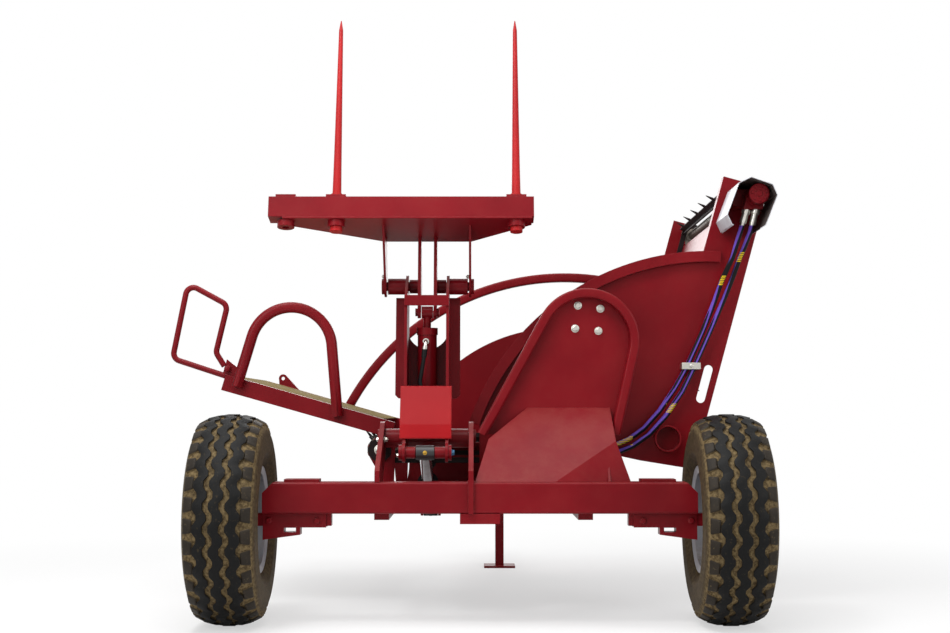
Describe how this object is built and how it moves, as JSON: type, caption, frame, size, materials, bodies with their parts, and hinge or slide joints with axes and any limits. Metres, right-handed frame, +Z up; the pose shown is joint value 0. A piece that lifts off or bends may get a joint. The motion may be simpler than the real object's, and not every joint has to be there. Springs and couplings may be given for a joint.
{
  "type": "trailed round-bale feeder",
  "caption": "Trailed bale feeder with a rear spear arm that lifts and tilts a round bale into a cradle with a chain-and-slat conveyor, on a straight axle with a drawbar and jack.",
  "frame": {"origin": "middle of the bounding box in plan, at ground level", "axes": "+X to the machine's right seen from behind, +Y forward to the tow eye, +Z up"},
  "size_m": [2.5974, 3.3754, 2.5499],
  "materials": {
    "frame_maroon": "gloss machine paint, dusty, with a soft sky sheen",
    "cover_red": "gloss machine paint on a plate turned up to the light",
    "tine_red": "gloss red paint over forged steel",
    "wheel_silver": "silver wheel paint with dried mud",
    "guard_grey": "light grey paint",
    "bare_steel": "worn steel",
    "rod_chrome": "hard chrome",
    "clamp_zinc": "zinc plate",
    "cast_black": "black paint on castings",
    "hose_rubber": "matt hose cover",
    "tyre": "ribbed implement tyre, muddy"
  },
  "bodies": {
    "chassis": {"axle_beam": "frame_maroon", "conveyor_bed": "frame_maroon", "conveyor_chains": "bare_steel", "conveyor_slats": "bare_steel", "cylinder_anchor": "frame_maroon", "drawbar": "frame_maroon", "drive_motor": "frame_maroon", "drive_shaft": "bare_steel", "frame_rails": "frame_maroon", "front_arc_rail": "frame_maroon", "front_wall": "frame_maroon", "gearbox": "frame_maroon", "hoop_panel": "frame_maroon", "hoop_pedestal": "frame_maroon", "hoop_rim": "frame_maroon", "hose_clamp": "clamp_zinc", "hoses": "hose_rubber", "jack_sleeve": "frame_maroon", "motor_guard": "guard_grey", "pivot_lugs": "frame_maroon", "pivot_pin": "bare_steel", "platform_floor": "frame_maroon", "platform_frame": "frame_maroon", "platform_hoop": "frame_maroon", "platform_loop": "frame_maroon", "rear_wall": "frame_maroon", "rear_wall_rim": "frame_maroon", "shaft_bearings": "bare_steel", "stub_axles": "frame_maroon", "stub_carriers": "frame_maroon", "tail_plates": "frame_maroon", "tail_shaft": "bare_steel", "tow_eye": "frame_maroon"},
    "wheel_left": {"tyre_left": "tyre", "rim_left": "wheel_silver", "hub_left": "cast_black"},
    "wheel_right": {"tyre_right": "tyre", "rim_right": "wheel_silver", "hub_right": "cast_black"},
    "lift_arm": {"arm_back_plate": "frame_maroon", "arm_cover_plate": "cover_red", "arm_cross_bar": "frame_maroon", "arm_pins": "bare_steel", "arm_pivot_tubes": "frame_maroon", "arm_ribs": "frame_maroon"},
    "spear_head": {"head_beam": "frame_maroon", "head_cross_tube": "frame_maroon", "head_levers": "frame_maroon", "head_pins": "bare_steel", "head_sides": "frame_maroon", "head_wing": "frame_maroon", "tine_left": "tine_red", "tine_pads": "frame_maroon", "tine_right": "tine_red"},
    "lift_cylinder": {"lift_barrel": "frame_maroon"},
    "lift_ram": {"lift_rod": "rod_chrome"},
    "tilt_cylinder": {"tilt_barrel": "frame_maroon", "tilt_hose": "hose_rubber"},
    "tilt_ram": {"tilt_rod": "rod_chrome"},
    "jack_foot": {"jack_leg": "frame_maroon"}
  },
  "joints": [
    {"name": "wheel_left_spin", "type": "hinge", "parent": "chassis", "child": "wheel_left", "pos_m": [-0.9553, -1.26525, 0.4225], "axis": [1, 0, 0], "continuous": true},
    {"name": "wheel_right_spin", "type": "hinge", "parent": "chassis", "child": "wheel_right", "pos_m": [1.0387, -1.26525, 0.4225], "axis": [1, 0, 0], "continuous": true},
    {"name": "lift", "type": "hinge", "parent": "chassis", "child": "lift_arm", "pos_m": [-0.1823, -0.93525, 0.742], "axis": [1, 0, 0], "range_deg": [0, 98]},
    {"name": "tilt", "type": "hinge", "parent": "lift_arm", "child": "spear_head", "pos_m": [-0.1823, -0.83525, 1.397], "axis": [-1, 0, 0], "range_deg": [0, 75]},
    {"name": "lift_cylinder_swing", "type": "hinge", "parent": "chassis", "child": "lift_cylinder", "pos_m": [-0.1823, -0.36525, 0.402], "axis": [1, 0, 0], "range_deg": [0, 7]},
    {"name": "lift_ram_slide", "type": "slide", "parent": "lift_cylinder", "child": "lift_ram", "axis": [0, -0.9438, 0.3305], "range_m": [-0.371, 0]},
    {"name": "tilt_cylinder_swing", "type": "hinge", "parent": "lift_arm", "child": "tilt_cylinder", "pos_m": [-0.1823, -0.92025, 0.87], "axis": [1, 0, 0], "range_deg": [0, 4]},
    {"name": "tilt_ram_slide", "type": "slide", "parent": "tilt_cylinder", "child": "tilt_ram", "axis": [0, -0.0244, 0.9997], "range_m": [0, 0.183]},
    {"name": "jack_slide", "type": "slide", "parent": "chassis", "child": "jack_foot", "axis": [0, 0, 1], "range_m": [0, 0.3]}
  ],
  "couplings": [
    {"joint": "lift_cylinder_swing", "follows": "lift", "ratio": 0.0702},
    {"joint": "lift_ram_slide", "follows": "lift", "m_per_rad": -0.2159},
    {"joint": "tilt_cylinder_swing", "follows": "tilt", "ratio": 0.0508},
    {"joint": "tilt_ram_slide", "follows": "tilt", "m_per_rad": 0.1387}
  ]
}
